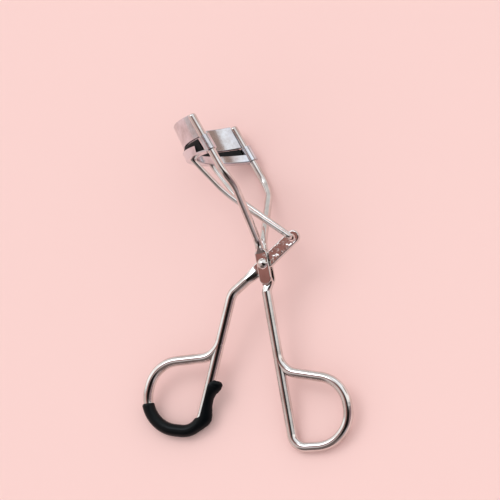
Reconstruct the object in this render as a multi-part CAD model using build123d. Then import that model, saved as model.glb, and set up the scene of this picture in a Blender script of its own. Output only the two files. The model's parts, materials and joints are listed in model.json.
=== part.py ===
from build123d import *
import os
from math import asin, atan, cos, degrees, radians, sin, sqrt, tan

# Eyelash curler with wire handles, a sliding lower jaw and a lever linkage. Millimetres and degrees.
#
# Every piece is drawn in the tool's frame: the origin is on the hinge axis, +Y runs along the frame
# handle's stem towards the jaws, +X points to the side of the frame handle's finger loop, and +Z is
# the hinge axis. Side +1 is the user's left, side -1 the right. At the end the tool is laid on a
# table with its left side up, and there +Y is still its long axis and +Z is up.

# Wire and rod stock
handle_wire_d = 3.1
rod_d = 2.4
fork_wire_d = 1.5

# Frame rods: an upper run for the lower jaw, a bend, and a run down to a flattened cheek
jaw_half_width = 17.5
rod_lean = 19.5
rod_corner_x = 0.5
rod_corner_y = 22.6
rod_upper_length = 25.3
rod_spread_height = 4.5
rod_spread_r = 8.0
rod_corner_half_width = 14.6
rod_corner_r = 10.0
rod_knee_y = 6.8
rod_knee_r = 4.8
rod_flat_start_y = 4.7
rod_tip_fillet = 0.7

# Clevis: two cheeks with the lever between them
cheek_width = 3.7
cheek_thickness = 1.1
cheek_top_y = 4.9
cheek_bottom_y = -6.3
cheek_edge_fillet = 0.25
cheek_inset = 0.1
lever_thickness = 1.7
lever_side_clearance = 0.1

# Pivot rivet
rivet_d = 2.0
rivet_head_d = 3.3
rivet_head_height = 0.9
pivot_clearance = 0.05

# Finger loops of the handles
stem_x = -1.0
stem_length = 32.5
stem_turn = 0.7
bend_r = 6.8
loop_width = 18.8
loop_side = 19.5
loop_r = 9.9
frame_heel_r = 4.5
lever_heel_r = 6.2
shoulder_slope = 19.5
floor_slope = 8.2
return_gap = 3.2
weld_rise = 3.4

# Frame handle's flattened top
tang_top_y = -4.4
tang_width = 3.1
tang_length = 1.9
tang_round_y = -8.2
tang_edge_fillet = 0.5

# Lever handle: a flat arm from the hook, through the hinge, then the crank bend and the stem
lever_angle = 30.0
lever_width = 4.1
lever_edge_fillet = 0.4
lever_flat_end = 2.6
lever_round_start = 7.2
crank_angle = 28.0
crank_distance = 13.6
crank_r = 5.0
handle_spread = 25.9
lever_stem_length = 19.4
hook_distance = 11.7
hook_clearance = 0.4
hook_wall = 1.3
hook_mouth_angle = 105.0
hook_mouth_clearance = 0.15

# Jaws: both leans are between the jaw's plane and the tool's X axis, and the walls stand more upright than
# the rods
jaw_sagitta = 11.5
jaw_wall_lean = 15.0
upper_jaw_lean = 2.0
upper_jaw_thickness = 1.0
upper_jaw_height = 7.6
upper_jaw_edge_fillet = 0.3
mouth_gap = 0.3
lower_jaw_lean = -3.5
pad_width = 2.2
pad_exposed = 1.2
pad_crown_fillet = 0.7
pad_end_clearance = 0.2
channel_wall = 0.6
channel_floor = 0.6
channel_depth = 2.1
channel_edge_fillet = 0.4
eye_wall = 0.55
eye_clearance = 0.1
eye_above_channel = 2.4
eye_below_channel_top = 2.4
notch_reach = 4.6

# Fork wire
fork_half_spread = 8.0
fork_knee_x = -6.4
fork_knee_y = 22.7
fork_knee_half_spread = 4.3
fork_knee_r = 30.0
fork_turn_half_width = 2.1
fork_turn_r = 1.2

# Finger grip: a silicone sleeve whose last run is open along the inside of the loop
grip_d = 4.0
grip_offset = 0.15
grip_bore_clearance = 0.05
grip_start_angle = 18.0
grip_end_drop = 7.0
grip_open_length = 11.0

settle_steps = 12

# Sizes that follow from the ones above
cheek_gap = lever_thickness + 2 * lever_side_clearance
cheek_z = (cheek_gap + cheek_thickness) / 2
slide = Vector(-sin(radians(rod_lean)), cos(radians(rod_lean)))
slide_across = Vector(cos(radians(rod_lean)), sin(radians(rod_lean)))
jaw_wall = Vector(-sin(radians(jaw_wall_lean)), cos(radians(jaw_wall_lean)))
arm = Vector(cos(radians(lever_angle)), sin(radians(lever_angle)))
jaw_r = (jaw_half_width**2 + jaw_sagitta**2) / (2 * jaw_sagitta)
eye_bore_r = rod_d / 2 + eye_clearance
eye_r = eye_bore_r + eye_wall

# Heights of the jaws, measured from the rods' corner up the slide
upper_jaw_bottom = rod_upper_length - upper_jaw_height
jaw_convergence = jaw_sagitta * (tan(radians(upper_jaw_lean)) - tan(radians(lower_jaw_lean)))
pad_top = upper_jaw_bottom - mouth_gap - jaw_convergence
channel_top = pad_top - pad_exposed
pad_bottom = channel_top - channel_depth
channel_bottom = pad_bottom - channel_floor
eye_top = channel_top + eye_above_channel
eye_bottom = channel_top - eye_below_channel_top

# Stem ends, where the finger loops begin
frame_stem = Vector(-sin(radians(stem_turn)), -cos(radians(stem_turn))) * (stem_length + tang_round_y)
frame_stem_end = Location(Vector(stem_x, tang_round_y) + frame_stem, (0, 0, -stem_turn))
crank_arm = Vector(-cos(radians(crank_angle)), -sin(radians(crank_angle)))
crank = crank_arm * crank_distance
lever_stem = Vector(-sin(radians(handle_spread)), -cos(radians(handle_spread))) * lever_stem_length
lever_stem_end = Location(crank + lever_stem, (0, 0, -handle_spread))


# Shapes that several pieces use

def bar(start, end, radius):
    """Round bar from one point to another."""
    return Solid.make_cylinder(radius, (end - start).length, Plane(start, z_dir=end - start))


def wire_through(points, radii, diameter):
    """Round wire in straight runs, with an arc of the given radius at each inner corner."""
    path = FilletPolyline(*points, radius=radii)
    return sweep(Plane(path @ 0, z_dir=path % 0) * Circle(diameter / 2), path=path)


def square_to(point, along):
    """Plane at a point, square to a direction, with its Y along the tool's Z."""
    return Plane(point, x_dir=along.cross(Vector(0, 0, 1)), z_dir=along)


def flattened_end(flat_plane, round_plane, width, thickness, edge_radius, diameter):
    """Taper from a flattened section to a round one."""
    return loft([
        flat_plane * RectangleRounded(width, thickness, edge_radius),
        round_plane * Circle(diameter / 2),
    ])


def on_rod(distance, side):
    """Point on a rod's centreline, measured up the slide from the rod's corner."""
    return Vector(rod_corner_x, rod_corner_y, side * jaw_half_width) + slide * distance


def jaw_plane(distance, lean):
    """Plane of a jaw's arc: its X points out of the bulge and its Y is the tool's Z."""
    mouth = Vector(rod_corner_x, rod_corner_y) + slide * upper_jaw_bottom
    origin = mouth + jaw_wall * (distance - upper_jaw_bottom)
    normal = Vector(-sin(radians(lean)), cos(radians(lean)))
    return Plane(origin, x_dir=(-cos(radians(lean)), -sin(radians(lean)), 0), z_dir=normal)


def jaw_strip(width, bottom, top, lean):
    """Curved strip from rod to rod, drawn in the jaw's plane and extruded up its walls."""
    ring = Circle(jaw_r + width / 2) - Circle(jaw_r - width / 2)
    reach = jaw_sagitta + width
    front = Pos(reach / 2, 0) * Rectangle(reach, 2 * (jaw_half_width + width))
    arc = Pos(jaw_sagitta - jaw_r, 0) * ring & front
    return extrude(jaw_plane(bottom, lean) * arc, top - bottom, dir=jaw_wall)


def pivot_hole(diameter):
    """Cutter for a hole on the hinge axis."""
    return Cylinder(diameter / 2, 2 * cheek_gap + 4 * cheek_thickness)


def in_tool(place, point):
    """Point of a local frame, in the tool's frame."""
    return (place * Pos(point)).position


def loop_corners(place, side):
    """Corners of a finger loop: bend, shoulder, outer and heel. Side +1 opens towards the stem's +X."""
    shoulder = Vector(side * loop_width, -loop_width * tan(radians(shoulder_slope)))
    outer = shoulder - Vector(0, loop_side)
    heel = Vector(0, outer.Y + loop_width * tan(radians(floor_slope)))
    return [in_tool(place, point) for point in (Vector(0, 0), shoulder, outer, heel)]


# Frame

def cheek(side):
    """Oval plate at a rod's lower end, with its outer edge broken."""
    length = cheek_top_y - cheek_bottom_y
    oval = Pos(0, (cheek_top_y + cheek_bottom_y) / 2, side * cheek_z) * SlotOverall(length, cheek_width, 90)
    plate = extrude(oval, cheek_thickness / 2, both=True)
    outer_face = plate.faces().sort_by(Axis.Z)[-1 if side > 0 else 0]
    return fillet(outer_face.edges(), cheek_edge_fillet)


def frame_rod(side):
    """Rod from its tip, down the slide and in to the hinge, where it is flattened into a cheek."""
    knee_z = side * (cheek_gap + rod_d) / 2
    knee = Vector(0, rod_knee_y, knee_z)
    flat_start = Vector(0, rod_flat_start_y, knee_z)
    shoulder = Vector(0, cheek_top_y - cheek_width / 2, side * cheek_z)
    corner = Vector(rod_corner_x, rod_corner_y, side * rod_corner_half_width)
    run = [on_rod(rod_upper_length, side), on_rod(rod_spread_height, side), corner, knee, flat_start]
    rod = wire_through(run, [rod_spread_r, rod_corner_r, rod_knee_r], rod_d)
    rod = fillet(rod.edges().sort_by(Axis.Y)[-1], rod_tip_fillet)
    ends = [square_to(point, Vector(0, 1)) for point in (shoulder, flat_start)]
    flat_shape = (cheek_width - 2 * cheek_inset, cheek_thickness - 2 * cheek_inset, cheek_edge_fillet)
    rod += flattened_end(*ends, *flat_shape, rod_d)
    return rod + cheek(side) - pivot_hole(rivet_d)


def upper_jaw():
    """Curved plate between the rods' tips, hollowed at its ends where it is welded to them."""
    plate = jaw_strip(upper_jaw_thickness, upper_jaw_bottom, rod_upper_length, upper_jaw_lean)
    plate = fillet(plate.edges().filter_by(GeomType.CIRCLE), upper_jaw_edge_fillet)
    for side in (1, -1):
        plate -= bar(on_rod(0, side), on_rod(rod_upper_length + rod_d, side), rod_d / 2)
    return plate


def pivot_rivet():
    """Shaft through the clevis, with a domed head against each cheek."""
    half_length = cheek_gap / 2 + cheek_thickness
    head_r = rivet_head_d / 2
    dome_r = (head_r**2 + rivet_head_height**2) / (2 * rivet_head_height)
    rivet = Cylinder(rivet_d / 2, 2 * half_length)
    for side in (1, -1):
        dome = Pos(0, 0, side * (half_length + rivet_head_height - dome_r)) * Sphere(dome_r)
        blank = Pos(0, 0, side * (half_length + rivet_head_height / 2)) * Cylinder(head_r, rivet_head_height)
        rivet += dome & blank
    return rivet


# Handles

def loop_wire(place, side, heel_r, start_points, start_radii):
    """Handle wire: a stem through the points given, then a finger loop whose end is welded up the stem."""
    corners = loop_corners(place, side)
    return_end = in_tool(place, Vector(0, -return_gap))
    radii = [*start_radii, bend_r, loop_r, loop_r, heel_r]
    wire = wire_through([*start_points, *corners, return_end], radii, handle_wire_d)
    weld = in_tool(place, Vector(0, weld_rise))
    return wire + bar(return_end, weld, handle_wire_d / 2)


def frame_handle():
    """Wire handle whose flattened top is held between the cheeks."""
    flat_point = Vector(0, tang_top_y - tang_length)
    round_point = Vector(stem_x, tang_round_y)
    middle = Pos(0, tang_top_y - tang_length / 2)
    tang = extrude(middle * Rectangle(tang_width, tang_length), cheek_gap / 2, both=True)
    ends = [square_to(flat_point, Vector(0, -1)), square_to(round_point, frame_stem)]
    taper = flattened_end(*ends, tang_width, cheek_gap, tang_edge_fillet, handle_wire_d)
    return loop_wire(frame_stem_end, 1, frame_heel_r, [round_point], []) + taper + tang


def lever_handle():
    """Wire handle that turns on the rivet: flattened lever, crank bend, stem and loop."""
    flat_point = arm * -lever_flat_end
    round_point = crank_arm * lever_round_start
    ends = [square_to(flat_point, -arm), square_to(round_point, crank_arm)]
    taper = flattened_end(*ends, lever_width, lever_thickness, lever_edge_fillet, handle_wire_d)
    wire = loop_wire(lever_stem_end, -1, lever_heel_r, [round_point, crank], [crank_r])
    return wire + taper + Rot(0, 0, lever_angle) * lever_plate()


def lever_plate():
    """Flat bar along X, with the pivot hole at the hinge and an open hook at its far end."""
    hook_r = fork_wire_d / 2 + hook_clearance
    far_end = hook_distance + hook_r + hook_wall
    round_centre = far_end - lever_width / 2
    flank = Rectangle(round_centre + lever_flat_end, lever_width)
    outline = Pos((round_centre - lever_flat_end) / 2, 0) * flank
    outline += Pos(round_centre, 0) * Circle(lever_width / 2)
    plate = extrude(outline, lever_thickness / 2, both=True)
    long_edges = plate.edges().filter_by(Axis.X) + plate.edges().filter_by(GeomType.CIRCLE)
    plate = fillet(long_edges, lever_edge_fillet)
    mouth = Box(lever_width, fork_wire_d + 2 * hook_mouth_clearance, 2 * lever_thickness)
    mouth = Rot(0, 0, hook_mouth_angle) * Pos(lever_width / 2, 0) * mouth
    hook = Cylinder(hook_r, 2 * lever_thickness) + mouth
    return plate - Pos(hook_distance, 0) * hook - pivot_hole(rivet_d + 2 * pivot_clearance)


def outer_arc_centre():
    """Centre of the arc round a loop's outer corner, in the stem's frame, for a loop on its +X side."""
    outer_y = -loop_width * tan(radians(shoulder_slope)) - loop_side
    return Vector(loop_width - loop_r, outer_y + loop_r * tan(radians(45 + floor_slope / 2)))


def finger_grip():
    """Silicone sleeve round the lever handle's loop, cut open on the inside of its last run."""
    bend, shoulder, outer, heel = loop_corners(lever_stem_end, -1)
    end = in_tool(lever_stem_end, Vector(0, -grip_end_drop))
    path = FilletPolyline(shoulder, outer, heel, end, radius=[loop_r, lever_heel_r])
    inwards = in_tool(lever_stem_end, Vector(1, 0)) - lever_stem_end.position
    section = Pos(-grip_offset, 0) * Circle(grip_d / 2) - Circle(handle_wire_d / 2 + grip_bore_clearance)
    sleeve = sweep(Plane(shoulder, x_dir=inwards, z_dir=path % 0) * section, path=path)
    centre = outer_arc_centre()
    bare_part = Box(2 * loop_r, 2 * loop_r, 2 * grip_d, align=(Align.MAX, Align.MIN, Align.CENTER))
    bare_part = Pos(-centre.X, centre.Y) * Rot(0, 0, grip_start_angle) * bare_part
    open_part = Box(grip_d, 2 * grip_open_length, 2 * grip_d, align=(Align.MAX, Align.CENTER, Align.CENTER))
    open_part = Pos(0, -grip_end_drop) * open_part
    return sleeve - lever_stem_end * bare_part - lever_stem_end * open_part


# Sliding jaw

def lower_jaw():
    """Curved channel for the pad, with an eye at each end that slides on its rod.

    Beside the eyes its outer wall is cut down to the floor, and the pad shows there.
    """
    jaw = jaw_strip(pad_width + 2 * channel_wall, channel_bottom, channel_top, lower_jaw_lean)
    bottom_edges = jaw.edges().filter_by(GeomType.CIRCLE).sort_by(Axis((0, 0, 0), slide))[:2]
    jaw = fillet(bottom_edges, channel_edge_fillet)
    jaw -= jaw_strip(pad_width, pad_bottom, channel_top + channel_depth, lower_jaw_lean)
    for side in (1, -1):
        jaw -= wall_notch(side)
        jaw += bar(on_rod(eye_bottom, side), on_rod(eye_top, side), eye_r)
    for side in (1, -1):
        jaw -= bar(on_rod(eye_bottom - rod_d, side), on_rod(rod_upper_length, side), eye_bore_r)
    return jaw


def wall_notch(side):
    """Cutter for the end of the channel's outer wall, beside an eye."""
    arc_centre = jaw_plane(pad_bottom, lower_jaw_lean).location * Pos(jaw_sagitta - jaw_r, 0)
    arc_end = arc_centre * Rot(0, 0, side * degrees(asin(jaw_half_width / jaw_r))) * Pos(jaw_r, 0)
    size = (2 * pad_width, 2 * notch_reach, 2 * channel_depth)
    return arc_end * Box(*size, align=(Align.MIN, Align.CENTER, Align.MIN))


def lash_pad():
    """Rubber strip seated in the channel, with a rounded crown that lies along the upper jaw."""
    pad = jaw_strip(pad_width, pad_bottom, upper_jaw_bottom, lower_jaw_lean)
    pad = split(pad, jaw_plane(upper_jaw_bottom - mouth_gap, upper_jaw_lean), Keep.BOTTOM)
    crown = pad.faces().sort_by(Axis((0, 0, 0), slide))[-1]
    pad = fillet(crown.edges().sort_by(SortBy.LENGTH)[-2:], pad_crown_fillet)
    for side in (1, -1):
        pad -= bar(on_rod(0, side), on_rod(rod_upper_length, side), eye_r + pad_end_clearance)
    return pad


def fork_wire():
    """Wire bent to a long U: its turn lies in the lever's hook, its ends are welded under the jaw."""
    floor_top = jaw_plane(pad_bottom, lower_jaw_lean)
    bulge_there = jaw_sagitta - jaw_r + sqrt(jaw_r**2 - fork_half_spread**2)
    end = floor_top.from_local_coords(Vector(bulge_there, fork_half_spread))
    knee = Vector(fork_knee_x, fork_knee_y, fork_knee_half_spread)
    turn = arm * hook_distance + Vector(0, 0, fork_turn_half_width)
    left = [end, knee, turn]
    right = [Vector(p.X, p.Y, -p.Z) for p in reversed(left)]
    radii = [fork_knee_r, fork_turn_r, fork_turn_r, fork_knee_r]
    channel = jaw_strip(pad_width + 2 * channel_wall, channel_bottom, channel_top, lower_jaw_lean)
    return wire_through(left + right, radii, fork_wire_d) - channel


# Laying the tool on a table

def spread_centre(side):
    """Centre of the arc where a rod leaves the slide, above its corner."""
    turn = atan((jaw_half_width - rod_corner_half_width) / rod_spread_height)
    arc_start = on_rod(rod_spread_height + rod_spread_r * tan(turn / 2), side)
    return arc_start - Vector(0, 0, side * rod_spread_r)


def table_normal():
    """Normal of the table under the right rod's bend and both finger loops, found by repeated settling."""
    centre = outer_arc_centre()
    frame_loop = in_tool(frame_stem_end, centre)
    lever_loop = in_tool(lever_stem_end, Vector(-centre.X, centre.Y))
    tool_z = Vector(0, 0, 1)
    supports = [
        (spread_centre(-1), slide_across, rod_spread_r, rod_d / 2),
        (lever_loop, tool_z, loop_r + grip_offset, grip_d / 2),
        (frame_loop, tool_z, loop_r, handle_wire_d / 2),
    ]
    normal = Vector(0, sin(radians(rod_lean)), cos(radians(rod_lean)))
    for _ in range(settle_steps):
        points = [lowest_point(normal, *support) for support in supports]
        normal = (points[1] - points[0]).cross(points[2] - points[0]).normalized()
    return normal


def lowest_point(up, centre, arc_axis, arc_r, wire_r):
    """Lowest point of a wire bent round an arc with the centre and axis given."""
    in_arc = (up - arc_axis * up.dot(arc_axis)).normalized()
    return centre - in_arc * arc_r - up * wire_r


def laid_down(solids):
    """Location that lays the tool on the table, with its box centred over the origin."""
    normal = table_normal()
    tool_y = Vector(0, 1, 0)
    turned = Plane((0, 0, 0), x_dir=tool_y.cross(normal), z_dir=normal).location.inverse()
    box = (turned * Compound(solids)).bounding_box()
    return Pos(-box.center().X, -box.center().Y, -box.min.Z) * turned


pieces = {
    "left_frame_rod": frame_rod(1),
    "right_frame_rod": frame_rod(-1),
    "upper_jaw": upper_jaw(),
    "pivot_rivet": pivot_rivet(),
    "frame_handle": frame_handle(),
    "lever_handle": lever_handle(),
    "finger_grip": finger_grip(),
    "lower_jaw": lower_jaw(),
    "lash_pad": lash_pad(),
    "fork_wire": fork_wire(),
}
laying = laid_down(list(pieces.values()))
os.makedirs("parts", exist_ok=True)
for name, piece in pieces.items():
    export_step(laying * piece, f"parts/{name}.step")
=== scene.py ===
import bpy
import bmesh
import json
from math import radians, sin, cos, pi
from mathutils import Vector, Matrix


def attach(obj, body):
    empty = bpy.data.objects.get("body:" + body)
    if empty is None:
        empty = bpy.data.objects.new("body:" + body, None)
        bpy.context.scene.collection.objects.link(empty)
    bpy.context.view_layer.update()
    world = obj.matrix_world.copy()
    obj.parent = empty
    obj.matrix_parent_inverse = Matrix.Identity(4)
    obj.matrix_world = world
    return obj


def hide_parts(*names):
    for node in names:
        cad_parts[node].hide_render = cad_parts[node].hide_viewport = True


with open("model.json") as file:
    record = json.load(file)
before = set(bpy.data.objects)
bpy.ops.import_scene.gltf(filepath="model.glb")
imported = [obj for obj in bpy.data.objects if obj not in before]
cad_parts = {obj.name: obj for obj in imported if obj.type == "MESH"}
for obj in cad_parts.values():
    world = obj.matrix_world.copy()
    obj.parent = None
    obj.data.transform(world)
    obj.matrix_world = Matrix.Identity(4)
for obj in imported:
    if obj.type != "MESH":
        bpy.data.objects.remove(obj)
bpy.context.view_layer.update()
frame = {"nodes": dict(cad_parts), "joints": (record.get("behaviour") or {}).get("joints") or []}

nodes = frame["nodes"]
mm = 0.001
mergeDistance = 0.001 * mm


def srgb(hexText):
    # sRGB hex to the linear colour that shaders use
    parts = [int(hexText[i:i + 2], 16) / 255 for i in (1, 3, 5)]
    return [p / 12.92 if p <= 0.04045 else ((p + 0.055) / 1.055) ** 2.4 for p in parts] + [1.0]


def addNode(tree, kind, settings=None, links=None):
    # settings: attribute or input socket -> value, links: input socket -> (node, output socket)
    node = tree.nodes.new(kind)
    for key, value in (settings or {}).items():
        if isinstance(key, int) or key in node.inputs:
            node.inputs[key].default_value = value
        else:
            setattr(node, key, value)
    for key, (source, socket) in (links or {}).items():
        tree.links.new(source.outputs[socket], node.inputs[key])
    return node


def newMaterial(name):
    material = bpy.data.materials.new(name)
    material.use_nodes = True
    material.node_tree.nodes.clear()
    return material, material.node_tree


# the tool's own axes, worked out from its two joints
toolAngles = {"rodLean": radians(19.5), "lever": radians(30), "crank": radians(28), "leverStem": radians(25.9)}
toolReach = {"crank": 13.6 * mm, "leverStem": 19.4 * mm}
hinge, carriageSlide = frame["joints"]
pivot = Vector(hinge["pos_m"])
toolZ = -Vector(hinge["axis"]).normalized()
slideUp = -Vector(carriageSlide["axis"]).normalized()
slideOut = slideUp.cross(toolZ)
toolX = slideOut * cos(toolAngles["rodLean"]) - slideUp * sin(toolAngles["rodLean"])
toolY = slideUp * cos(toolAngles["rodLean"]) + slideOut * sin(toolAngles["rodLean"])

# the lever handle's own frame: origin where its stem meets the loop, y up the stem
stemX = toolX * cos(toolAngles["leverStem"]) - toolY * sin(toolAngles["leverStem"])
stemY = toolX * sin(toolAngles["leverStem"]) + toolY * cos(toolAngles["leverStem"])
stemEnd = (pivot - (toolX * cos(toolAngles["crank"]) + toolY * sin(toolAngles["crank"])) * toolReach["crank"]
           - stemY * toolReach["leverStem"])
leverFrame = Matrix.Translation(stemEnd) @ Matrix((stemX, stemY, toolZ)).transposed().to_4x4()

# finger grip: a silicone sleeve round the lever's loop, open to the inside on its last run;
# places are in the lever handle's own frame: x outwards, y up the stem
gripSize = {
    "arcCentre": (-8.9 * mm, -14.73 * mm), "arcRadius": 9.9 * mm, "arcStart": radians(204), "arcTurn": radians(74.2),
    "floorRun": 2.195 * mm, "floorSlope": radians(8.2),
    "heelCentre": (-6.2 * mm, -18.08 * mm), "heelTurn": radians(81.8),
    "arcSteps": 26, "floorSteps": 3, "heelSteps": 22, "sides": 40,
    "skin": 1.9 * mm, "outward": 0.1 * mm,
    "rim": 0.14 * mm, "rimSteps": 3, "rimCorner": radians(42), "smoothCorner": radians(38),
    "boreRadius": 1.6 * mm, "boreLead": radians(12), "boreRun": 16 * mm,
    # the first end is drawn in to this share of the skin, and opens out over this turn
    "endRound": 0.76, "endRoundTurn": radians(3),
    # the last run, up the stem: where it stops, and how far each side of it swells or is cut back on the way
    "ringStep": 0.5 * mm, "lastRing": -8.9 * mm,
    "swell": [(-23.6, 1.0), (-22.0, 1.42), (-20.6, 1.62), (-19.2, 1.66), (-17.6, 1.56), (-16.4, 1.4), (-14.6, 1.17),
              (-12.7, 1.12), (-11.3, 1.28), (-10.2, 1.64), (-9.4, 1.9), (-8.9, 1.95)],
    "cutBackFrom": -2.6 * mm,
    "cutBack": [(-19.7, 1.0), (-18.4, 0.27), (-16.0, 0.2), (-12.6, 0.1), (-10.0, 0.03)],
    # the flared end's last rings: height, inner side, outer side, half thickness
    "flareTip": [(-8.55, 0.02, 3.9, 1.8), (-8.2, 0.22, 4.02, 1.76), (-7.85, 0.55, 3.98, 1.68),
                 (-7.5, 0.98, 3.78, 1.5), (-7.22, 1.45, 3.42, 1.24), (-7.06, 1.95, 2.95, 0.85)],
}


def activeEdit():
    return bmesh.from_edit_mesh(bpy.context.object.data)


def between(rows, height):
    # eased value at a height, from rows of (height in mm, value)
    height = min(max(height / mm, rows[0][0]), rows[-1][0])
    for (low, first), (high, second) in zip(rows, rows[1:]):
        if height <= high:
            share = (height - low) / (high - low)
            return first + (second - first) * share * share * (3 - 2 * share)


def loopTube(name, radius, outward, before, roundEnd):
    # a ring swept round the loop's outer arc, its floor and its heel; the last ring stays selected
    s = gripSize
    bpy.ops.object.select_all(action="DESELECT")
    start = s["arcStart"] - before
    reach = s["arcRadius"] + outward

    def ringCentre(angle):
        return (s["arcCentre"][0] + reach * cos(angle), s["arcCentre"][1] + reach * sin(angle), 0)

    def turnRing(steps, angle, centre):
        bpy.ops.mesh.spin(steps=steps, angle=angle, center=(*centre, 0), axis=(0, 0, -1))

    bpy.ops.mesh.primitive_circle_add(vertices=s["sides"], radius=radius * roundEnd, fill_type="NGON",
                                      location=ringCentre(start), rotation=(pi / 2, 0, start))
    tube = bpy.context.object
    tube.name = name
    bpy.ops.object.transform_apply(location=True, rotation=True, scale=True)
    bpy.ops.object.mode_set(mode="EDIT")
    bpy.ops.mesh.select_mode(type="VERT")
    bpy.ops.mesh.select_all(action="SELECT")
    # two thirds of the way out to the full ring, then all of it
    for growth in ((1 + 2 / roundEnd) / 3, 3 / (2 + roundEnd)):
        turnRing(1, s["endRoundTurn"] / 2, s["arcCentre"])
        start += s["endRoundTurn"] / 2
        bpy.ops.transform.resize(value=(growth,) * 3, center_override=ringCentre(start))
    turnRing(s["arcSteps"], s["arcTurn"] + before - s["endRoundTurn"], s["arcCentre"])
    run = (cos(s["floorSlope"]) * s["floorRun"], sin(s["floorSlope"]) * s["floorRun"], 0)
    for step in range(s["floorSteps"]):
        bpy.ops.mesh.extrude_region_move(TRANSFORM_OT_translate={"value": [c / s["floorSteps"] for c in run]})
    turnRing(s["heelSteps"], s["heelTurn"], s["heelCentre"])
    return tube


def closeShell():
    bpy.ops.mesh.select_all(action="SELECT")
    bpy.ops.mesh.remove_doubles(threshold=mergeDistance)
    bpy.ops.mesh.fill_holes(sides=0)
    bpy.ops.mesh.select_all(action="SELECT")
    bpy.ops.mesh.normals_make_consistent(inside=False)
    bpy.ops.object.mode_set(mode="OBJECT")


def shapeLastRun():
    # swell the outer side and cut back the inner side, by height
    s = gripSize
    mesh = activeEdit()
    for vert in mesh.verts:
        if vert.co.x > 0:
            vert.co.x *= between(s["swell"], vert.co.y)
        elif vert.co.x > s["cutBackFrom"] and vert.co.y > s["cutBack"][0][0] * mm:
            vert.co.x *= between(s["cutBack"], vert.co.y)
    bmesh.update_edit_mesh(bpy.context.object.data)


def makeGrip():
    s = gripSize
    grip = loopTube("siliconeGrip", s["skin"], s["outward"], 0.0, s["endRound"])
    height = s["heelCentre"][1]
    rings = round((s["lastRing"] - height) / s["ringStep"])
    for ring in range(rings):
        bpy.ops.mesh.extrude_region_move(TRANSFORM_OT_translate={"value": (0, (s["lastRing"] - height) / rings, 0)})
    shapeLastRun()
    for nextHeight, inner, outer, thick in ([c * mm for c in row] for row in s["flareTip"]):
        ring = [v.co for v in activeEdit().verts if v.select]
        low, high = min(c.x for c in ring), max(c.x for c in ring)
        height = sum(c.y for c in ring) / len(ring)
        wide = max(c.z for c in ring)
        bpy.ops.mesh.extrude_region_move(TRANSFORM_OT_translate={"value": (inner - low, nextHeight - height, 0)})
        bpy.ops.transform.resize(value=((outer - inner) / (high - low), 1, thick / wide),
                                 center_override=(inner, nextHeight, 0))
    closeShell()

    bore = loopTube("gripBore", s["boreRadius"], 0.0, s["boreLead"], 1.0)
    bpy.ops.mesh.extrude_region_move(TRANSFORM_OT_translate={"value": (0, s["boreRun"], 0)})
    closeShell()

    bpy.ops.object.select_all(action="DESELECT")
    bpy.context.view_layer.objects.active = grip
    grip.select_set(True)
    cut = grip.modifiers.new("wireWay", "BOOLEAN")
    cut.operation, cut.solver, cut.object = "DIFFERENCE", "EXACT", bore
    bpy.ops.object.modifier_apply(modifier=cut.name)
    bpy.data.objects.remove(bore)
    rim = grip.modifiers.new("mouldedRim", "BEVEL")
    rim.width, rim.segments = s["rim"], s["rimSteps"]
    rim.limit_method, rim.angle_limit = "ANGLE", s["rimCorner"]
    bpy.ops.object.modifier_apply(modifier=rim.name)
    bpy.ops.object.shade_smooth_by_angle(angle=s["smoothCorner"])
    grip.matrix_world = leverFrame
    bpy.ops.object.transform_apply(location=True, rotation=True, scale=True)
    return grip


grip = makeGrip()
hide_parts("finger_grip")
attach(grip, "lever")
print("grip:", len(grip.data.polygons), "faces")

# lash pad: one moulded strip of black rubber, softened all over

padSetup = {"voxel": 0.13 * mm, "softening": 0.5, "passes": 6}


def makePad():
    bpy.ops.object.select_all(action="DESELECT")
    source = nodes["lash_pad"]
    pad = bpy.data.objects.new("rubberPad", source.data.copy())
    bpy.context.scene.collection.objects.link(pad)
    bpy.context.view_layer.objects.active = pad
    pad.select_set(True)
    bpy.ops.object.mode_set(mode="EDIT")
    bpy.ops.mesh.select_all(action="SELECT")
    bpy.ops.mesh.remove_doubles(threshold=mergeDistance)
    bpy.ops.object.mode_set(mode="OBJECT")
    remesh = pad.modifiers.new("evenSkin", "REMESH")
    remesh.mode, remesh.voxel_size = "VOXEL", padSetup["voxel"]
    bpy.ops.object.modifier_apply(modifier=remesh.name)
    soften = pad.modifiers.new("soften", "SMOOTH")
    soften.factor, soften.iterations = padSetup["softening"], padSetup["passes"]
    bpy.ops.object.modifier_apply(modifier=soften.name)
    bpy.ops.object.shade_smooth()
    return pad


pad = makePad()
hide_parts("lash_pad")
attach(pad, "carriage")
print("pad:", len(pad.data.polygons), "faces")


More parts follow.
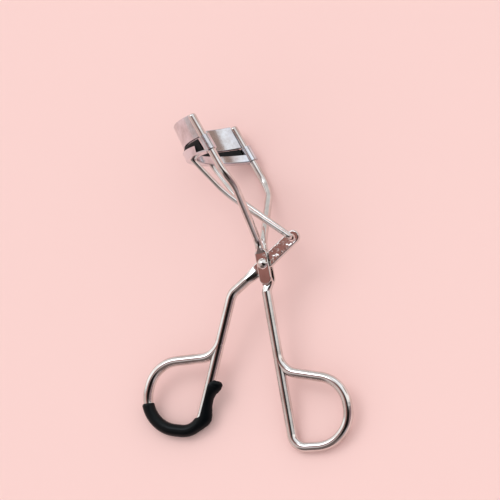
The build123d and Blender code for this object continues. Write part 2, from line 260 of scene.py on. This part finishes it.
def makePlatedWire():
    # nickel plate over drawn steel wire: mirror bright, with a faint grain, a slow ripple and thin haze;
    # the grain of drawn wire is really under 0.1 mm, and is drawn coarser so that it shows
    s = {"metal": "#e2dedb", "hazed": "#cfc6c1", "hazeSize": 5.0, "hazeEdges": (0.42, 0.68),
         "roughClean": 0.045, "roughHazed": 0.12,
         "rippleSize": 2.2, "rippleHeight": 0.012 * mm, "grainSize": 0.35, "grainHeight": 0.0012 * mm,
         "dentSize": 2.1, "dentHeight": 0.3 * mm, "dentedAt": 7.2 * mm, "dentedReach": (5.2 * mm, 7.2 * mm)}
    material, tree = newMaterial("nickelPlatedWire")
    place = addNode(tree, "ShaderNodeTexCoord")
    haze = addNode(tree, "ShaderNodeTexNoise", {"Scale": 1 / (s["hazeSize"] * mm), "Detail": 4.0, "Roughness": 0.6},
                   {"Vector": (place, "Object")})
    hazeShare = addNode(tree, "ShaderNodeMapRange", {"From Min": s["hazeEdges"][0], "From Max": s["hazeEdges"][1]},
                        {"Value": (haze, "Fac")})
    colour = addNode(tree, "ShaderNodeMix", {"data_type": "RGBA", 6: srgb(s["metal"]), 7: srgb(s["hazed"])},
                     {0: (hazeShare, "Result")})
    rough = addNode(tree, "ShaderNodeMapRange", {"To Min": s["roughClean"], "To Max": s["roughHazed"]},
                    {"Value": (hazeShare, "Result")})
    ripple = addNode(tree, "ShaderNodeTexNoise", {"Scale": 1 / (s["rippleSize"] * mm), "Detail": 1.0},
                     {"Vector": (place, "Object")})
    rippleBump = addNode(tree, "ShaderNodeBump", {"Strength": 1.0, "Distance": s["rippleHeight"]},
                         {"Height": (ripple, "Fac")})
    grain = addNode(tree, "ShaderNodeTexNoise", {"Scale": 1 / (s["grainSize"] * mm), "Detail": 3.0},
                    {"Vector": (place, "Object")})
    grainBump = addNode(tree, "ShaderNodeBump", {"Strength": 1.0, "Distance": s["grainHeight"]},
                        {"Height": (grain, "Fac"), "Normal": (rippleBump, "Normal")})
    # the lever is hammered flat from the same wire, and shallow dents stay on its face
    leverMiddle = pivot + (toolX * cos(toolAngles["lever"]) + toolY * sin(toolAngles["lever"])) * s["dentedAt"]
    fromMiddle = addNode(tree, "ShaderNodeVectorMath", {"operation": "DISTANCE", 1: leverMiddle},
                         {0: (place, "Object")})
    dented = addNode(tree, "ShaderNodeMapRange", {"From Min": s["dentedReach"][0], "From Max": s["dentedReach"][1],
                                                  "To Min": 1.0, "To Max": 0.0}, {"Value": (fromMiddle, "Value")})
    dents = addNode(tree, "ShaderNodeTexNoise", {"Scale": 1 / (s["dentSize"] * mm), "Detail": 2.5, "Roughness": 0.45},
                    {"Vector": (place, "Object")})
    dentBump = addNode(tree, "ShaderNodeBump", {"Distance": s["dentHeight"]},
                       {"Strength": (dented, "Result"), "Height": (dents, "Fac"), "Normal": (grainBump, "Normal")})
    shader = addNode(tree, "ShaderNodeBsdfPrincipled", {"Metallic": 1.0},
                     {"Base Color": (colour, 2), "Roughness": (rough, "Result"), "Normal": (dentBump, "Normal")})
    addNode(tree, "ShaderNodeOutputMaterial", links={"Surface": (shader, "BSDF")})
    return material


def makePlatedStrip():
    # the same plate on stamped sheet: the rolled skin under it shows as an orange peel and small pits,
    # which are really about 0.2 mm, and are drawn coarser so that they show
    s = {"metal": "#dddfe5", "hazed": "#c3bcbd", "hazeSize": 5.0, "hazeEdges": (0.4, 0.66),
         "roughClean": 0.1, "roughHazed": 0.2, "peelSize": 0.7, "peelHeight": 0.014 * mm,
         "pitSize": 0.45, "pitEdge": 0.22, "pitHeight": 0.004 * mm}
    material, tree = newMaterial("nickelPlatedStrip")
    place = addNode(tree, "ShaderNodeTexCoord")
    haze = addNode(tree, "ShaderNodeTexNoise", {"Scale": 1 / (s["hazeSize"] * mm), "Detail": 5.0, "Roughness": 0.65},
                   {"Vector": (place, "Object")})
    hazeShare = addNode(tree, "ShaderNodeMapRange", {"From Min": s["hazeEdges"][0], "From Max": s["hazeEdges"][1]},
                        {"Value": (haze, "Fac")})
    colour = addNode(tree, "ShaderNodeMix", {"data_type": "RGBA", 6: srgb(s["metal"]), 7: srgb(s["hazed"])},
                     {0: (hazeShare, "Result")})
    rough = addNode(tree, "ShaderNodeMapRange", {"To Min": s["roughClean"], "To Max": s["roughHazed"]},
                    {"Value": (hazeShare, "Result")})
    peel = addNode(tree, "ShaderNodeTexNoise", {"Scale": 1 / (s["peelSize"] * mm), "Detail": 2.0},
                   {"Vector": (place, "Object")})
    peelBump = addNode(tree, "ShaderNodeBump", {"Strength": 1.0, "Distance": s["peelHeight"]},
                       {"Height": (peel, "Fac")})
    pits = addNode(tree, "ShaderNodeTexVoronoi", {"Scale": 1 / (s["pitSize"] * mm)}, {"Vector": (place, "Object")})
    pitDepth = addNode(tree, "ShaderNodeMapRange", {"From Min": 0.0, "From Max": s["pitEdge"]},
                       {"Value": (pits, "Distance")})
    pitBump = addNode(tree, "ShaderNodeBump", {"Strength": 1.0, "Distance": s["pitHeight"]},
                      {"Height": (pitDepth, "Result"), "Normal": (peelBump, "Normal")})
    shader = addNode(tree, "ShaderNodeBsdfPrincipled", {"Metallic": 1.0},
                     {"Base Color": (colour, 2), "Roughness": (rough, "Result"), "Normal": (pitBump, "Normal")})
    addNode(tree, "ShaderNodeOutputMaterial", links={"Surface": (shader, "BSDF")})
    return material


def makeSilicone():
    # moulded black silicone: satin, with a spark-eroded mould grain and a little lint that greys the skin;
    # the grain is really about 0.05 mm, and is drawn coarser so that it shows
    s = {"body": "#03070a", "linty": "#0b1014", "lintSize": 1.6, "lintEdges": (0.55, 0.85),
         "grainSize": 0.16, "grainHeight": 0.012 * mm, "grainStrength": 0.6,
         "roughLow": 0.28, "roughHigh": 0.4, "ior": 1.42, "specular": 0.22}
    material, tree = newMaterial("mouldedSilicone")
    place = addNode(tree, "ShaderNodeTexCoord")
    lint = addNode(tree, "ShaderNodeTexNoise", {"Scale": 1 / (s["lintSize"] * mm), "Detail": 8.0, "Roughness": 0.7},
                   {"Vector": (place, "Object")})
    lintShare = addNode(tree, "ShaderNodeMapRange", {"From Min": s["lintEdges"][0], "From Max": s["lintEdges"][1]},
                        {"Value": (lint, "Fac")})
    colour = addNode(tree, "ShaderNodeMix", {"data_type": "RGBA", 6: srgb(s["body"]), 7: srgb(s["linty"])},
                     {0: (lintShare, "Result")})
    rough = addNode(tree, "ShaderNodeMapRange", {"To Min": s["roughLow"], "To Max": s["roughHigh"]},
                    {"Value": (lint, "Fac")})
    grain = addNode(tree, "ShaderNodeTexNoise", {"Scale": 1 / (s["grainSize"] * mm), "Detail": 3.0},
                    {"Vector": (place, "Object")})
    bump = addNode(tree, "ShaderNodeBump", {"Strength": s["grainStrength"], "Distance": s["grainHeight"]},
                   {"Height": (grain, "Fac")})
    shader = addNode(tree, "ShaderNodeBsdfPrincipled", {"IOR": s["ior"], "Specular IOR Level": s["specular"]},
                     {"Base Color": (colour, 2), "Roughness": (rough, "Result"), "Normal": (bump, "Normal")})
    addNode(tree, "ShaderNodeOutputMaterial", links={"Surface": (shader, "BSDF")})
    return material


def makeNitrile():
    # moulded nitrile rubber: matt, almost black, with a fine dry bloom;
    # the mould's grain is really about 0.05 mm, and is drawn coarser so that it shows
    s = {"body": "#04080a", "bloom": "#0c1214", "bloomSize": 1.1, "grainSize": 0.2, "grainHeight": 0.02 * mm,
         "grainStrength": 0.7, "roughLow": 0.55, "roughHigh": 0.8, "ior": 1.5, "specular": 0.3}
    material, tree = newMaterial("mouldedNitrile")
    place = addNode(tree, "ShaderNodeTexCoord")
    bloom = addNode(tree, "ShaderNodeTexNoise", {"Scale": 1 / (s["bloomSize"] * mm), "Detail": 6.0, "Roughness": 0.7},
                    {"Vector": (place, "Object")})
    colour = addNode(tree, "ShaderNodeMix", {"data_type": "RGBA", 6: srgb(s["body"]), 7: srgb(s["bloom"])},
                     {0: (bloom, "Fac")})
    rough = addNode(tree, "ShaderNodeMapRange", {"To Min": s["roughLow"], "To Max": s["roughHigh"]},
                    {"Value": (bloom, "Fac")})
    grain = addNode(tree, "ShaderNodeTexNoise", {"Scale": 1 / (s["grainSize"] * mm), "Detail": 2.0},
                    {"Vector": (place, "Object")})
    bump = addNode(tree, "ShaderNodeBump", {"Strength": s["grainStrength"], "Distance": s["grainHeight"]},
                   {"Height": (grain, "Fac")})
    shader = addNode(tree, "ShaderNodeBsdfPrincipled", {"IOR": s["ior"], "Specular IOR Level": s["specular"]},
                     {"Base Color": (colour, 2), "Roughness": (rough, "Result"), "Normal": (bump, "Normal")})
    addNode(tree, "ShaderNodeOutputMaterial", links={"Surface": (shader, "BSDF")})
    return material


platedWire, platedStrip, silicone, nitrile = makePlatedWire(), makePlatedStrip(), makeSilicone(), makeNitrile()
finishes = {"left_frame_rod": platedWire, "right_frame_rod": platedWire, "frame_handle": platedWire,
            "lever_handle": platedWire, "fork_wire": platedWire, "pivot_rivet": platedWire,
            "upper_jaw": platedStrip, "lower_jaw": platedStrip,
            "finger_grip": silicone, "lash_pad": nitrile}
for name, finish in finishes.items():
    nodes[name].data.materials.clear()
    nodes[name].data.materials.append(finish)
for piece, finish in ((grip, silicone), (pad, nitrile)):
    piece.data.materials.clear()
    piece.data.materials.append(finish)
print("materials: on", len(finishes), "nodes and 2 pieces")

# stage, light and camera

stageSetup = {"floorColour": "#fed6d1", "floorRough": 0.8, "floorWidth": 3.0, "skyStrength": 0.86,
              "sunStrength": 0.5, "sunAngle": radians(35), "sunFrom": (-0.45, 0.55, 1.0)}

bpy.ops.object.select_all(action="DESELECT")
bpy.ops.mesh.primitive_plane_add(size=stageSetup["floorWidth"], location=(0, 0, 0))
floor = bpy.context.object
floor.name = "studioFloor"
floorMaterial, tree = newMaterial("paleCard")
shader = addNode(tree, "ShaderNodeBsdfPrincipled", {"Base Color": srgb(stageSetup["floorColour"]),
                                                    "Roughness": stageSetup["floorRough"]})
addNode(tree, "ShaderNodeOutputMaterial", links={"Surface": (shader, "BSDF")})
floor.data.materials.append(floorMaterial)

# camera: a long lens, so that the view is nearly parallel; its ways are in the tool's own axes
cameraSetup = {"towards": (0.3271, -0.1541, 0.9323), "up": (0.196, 0.981, 0.0),
               "pivotRight": 0.0044, "pivotUp": -0.0043, "distance": 1.2, "width": 0.150, "farClip": 10}
towards, cameraUp = (toolX * v[0] + toolY * v[1] + toolZ * v[2]
                     for v in (cameraSetup["towards"], cameraSetup["up"]))
towards.normalize()
right = cameraUp.cross(towards).normalized()
up = towards.cross(right)

# the room that bright metal mirrors, told by direction: pale above, dim below, a dull light from each side, a dark
# zone in front where the room falls away, and soft patches where boards and reflectors stand
roomSetup = {"dim": (0.19, 0.145, 0.14), "rightColour": "#a48b90", "leftColour": "#dfcdc9", "riseLean": (-0.12, 0.96),
             # each ramp: along which way, from where to where, and its two levels
             "ramps": {"rise": ("rise", (0.12, 0.36), (0.14, 1.2)), "zenith": ("up", (0.5, 0.95), (1.0, 0.6)),
                       "rightLift": ("right", (0.42, 0.75), (0.0, 1.0)),
                       "leftLift": ("left", (0.66, 0.84), (0.0, 1.0))},
             # the dark zone is an oval in front: its long way, its middle, its two half widths and its soft edge
             "darkLong": (0.77, -0.64), "darkMiddle": (-0.06, -0.02), "darkHalf": (0.74, 0.40),
             "darkEdge": (0.35, 1.35), "dark": 0.06, "darkFront": 0.1, "outOfZone": 9.0,
             # each patch: its place to the right and up, its edge and core as cosines, its colour and its strength
             "patches": [((0.62, 0.70), (0.978, 0.993), "#b09587", 1.0),
                         ((0.06, 0.82), (0.93, 0.985), "#e2e9f0", 1.8),
                         ((0.02, 0.64), (0.94, 0.99), "#e6e9ee", 1.3),
                         ((0.47, -0.66), (0.90, 0.98), "#bcb1b5", 1.0),
                         ((-0.66, -0.12), (0.945, 0.985), "#dcd7d8", 1.0),
                         ((-0.61, 0.53), (0.95, 0.99), "#dfe8f0", 4.6),
                         ((-0.64, 0.16), (0.965, 0.998), "#a2716a", 1.0)]}
world = bpy.data.worlds.new("studioRoom")
bpy.context.scene.world = world
world.use_nodes = True
tree = world.node_tree
tree.nodes.clear()
looking = addNode(tree, "ShaderNodeTexCoord")

leanX, leanY = roomSetup["riseLean"]
longX, longY = roomSetup["darkLong"]
ways = {"rise": right * leanX + up * leanY, "up": up, "right": right, "left": -right, "towards": towards,
        "long": right * longX + up * longY, "short": right * -longY + up * longX}
# how nearly the direction looked in points each way, as a cosine
facing = {}
for name, way in ways.items():
    facing[name] = addNode(tree, "ShaderNodeVectorMath", {"operation": "DOT_PRODUCT", 1: way},
                           {0: (looking, "Generated")})
level = {}
for name, (way, edges, levels) in roomSetup["ramps"].items():
    level[name] = addNode(tree, "ShaderNodeMapRange",
                          {"interpolation_type": "SMOOTHSTEP", "From Min": edges[0], "From Max": edges[1],
                           "To Min": levels[0], "To Max": levels[1]}, {"Value": (facing[way], "Value")})

sky = addNode(tree, "ShaderNodeMath", {"operation": "MULTIPLY"},
              {0: (level["rise"], "Result"), 1: (level["zenith"], "Result")})
leftSide = addNode(tree, "ShaderNodeMix", {"data_type": "RGBA", 6: (*roomSetup["dim"], 1.0),
                                           7: srgb(roomSetup["leftColour"])}, {0: (level["leftLift"], "Result")})
bothSides = addNode(tree, "ShaderNodeMix", {"data_type": "RGBA", 7: srgb(roomSetup["rightColour"])},
                    {0: (level["rightLift"], "Result"), 6: (leftSide, 2)})
lit = addNode(tree, "ShaderNodeMix", {"data_type": "RGBA", "blend_type": "LIGHTEN", 0: 1.0},
              {6: (sky, "Value"), 7: (bothSides, 2)})

middleX, middleY = roomSetup["darkMiddle"]
middles = {"long": middleX * longX + middleY * longY, "short": middleX * -longY + middleY * longX}
squares = []
for (way, middle), half in zip(middles.items(), roomSetup["darkHalf"]):
    offset = addNode(tree, "ShaderNodeMath", {"operation": "SUBTRACT", 1: middle}, {0: (facing[way], "Value")})
    share = addNode(tree, "ShaderNodeMath", {"operation": "DIVIDE", 1: half}, {0: (offset, "Value")})
    squares.append(addNode(tree, "ShaderNodeMath", {"operation": "POWER", 1: 2.0}, {0: (share, "Value")}))
oval = addNode(tree, "ShaderNodeMath", {"operation": "ADD"}, {0: (squares[0], "Value"), 1: (squares[1], "Value")})
# the dark zone is in front alone: behind, a large number is added, which lies far outside the oval
behind = addNode(tree, "ShaderNodeMapRange", {"From Min": 0.0, "From Max": roomSetup["darkFront"],
                                              "To Min": roomSetup["outOfZone"], "To Max": 0.0},
                 {"Value": (facing["towards"], "Value")})
ovalInFront = addNode(tree, "ShaderNodeMath", {"operation": "ADD"}, {0: (oval, "Value"), 1: (behind, "Result")})
darkZone = addNode(tree, "ShaderNodeMapRange",
               {"interpolation_type": "SMOOTHSTEP", "From Min": roomSetup["darkEdge"][0],
                "From Max": roomSetup["darkEdge"][1], "To Min": roomSetup["dark"], "To Max": 1.0},
               {"Value": (ovalInFront, "Value")})
room = addNode(tree, "ShaderNodeMix", {"data_type": "RGBA", "blend_type": "MULTIPLY", 0: 1.0},
               {6: (lit, 2), 7: (darkZone, "Result")})

for (placeX, placeY), edges, tint, strength in roomSetup["patches"]:
    depth = max(1 - placeX * placeX - placeY * placeY, 0) ** 0.5
    centre = (right * placeX + up * placeY + towards * depth).normalized()
    near = addNode(tree, "ShaderNodeVectorMath", {"operation": "DOT_PRODUCT", 1: centre},
                   {0: (looking, "Generated")})
    share = addNode(tree, "ShaderNodeMapRange", {"interpolation_type": "SMOOTHSTEP", "From Min": edges[0],
                                                 "From Max": edges[1]}, {"Value": (near, "Value")})
    colour = (*(c * strength for c in srgb(tint)[:3]), 1.0)
    room = addNode(tree, "ShaderNodeMix", {"data_type": "RGBA", 7: colour}, {0: (share, "Result"), 6: (room, 2)})

# the room shows in bright surfaces alone, and an even sky lights the rest
rays = addNode(tree, "ShaderNodeLightPath")
plainSky = stageSetup["skyStrength"]
skyColour = addNode(tree, "ShaderNodeMix", {"data_type": "RGBA", 6: (plainSky, plainSky, plainSky, 1.0)},
                    {0: (rays, "Is Glossy Ray"), 7: (room, 2)})
background = addNode(tree, "ShaderNodeBackground", {"Strength": 1.0}, {"Color": (skyColour, 2)})
addNode(tree, "ShaderNodeOutputWorld", links={"Surface": (background, "Background")})

sunData = bpy.data.lights.new("softSun", "SUN")
sunData.energy, sunData.angle = stageSetup["sunStrength"], stageSetup["sunAngle"]
sun = bpy.data.objects.new("softSun", sunData)
bpy.context.scene.collection.objects.link(sun)
sun.rotation_euler = Vector(stageSetup["sunFrom"]).to_track_quat("Z", "Y").to_euler()
sun.visible_glossy = False

cameraData = bpy.data.cameras.new("studioCamera")
camera = bpy.data.objects.new("studioCamera", cameraData)
bpy.context.scene.collection.objects.link(camera)
target = pivot - right * cameraSetup["pivotRight"] - up * cameraSetup["pivotUp"]
turn = Matrix((right, up, towards)).transposed().to_4x4()
camera.matrix_world = Matrix.Translation(target + towards * cameraSetup["distance"]) @ turn
cameraData.lens = cameraData.sensor_width * cameraSetup["distance"] / cameraSetup["width"]
cameraData.clip_end = cameraSetup["farClip"]
bpy.context.scene.camera = camera
bpy.context.scene.view_settings.view_transform = "Standard"
print("stage: floor, sky, sun and camera")
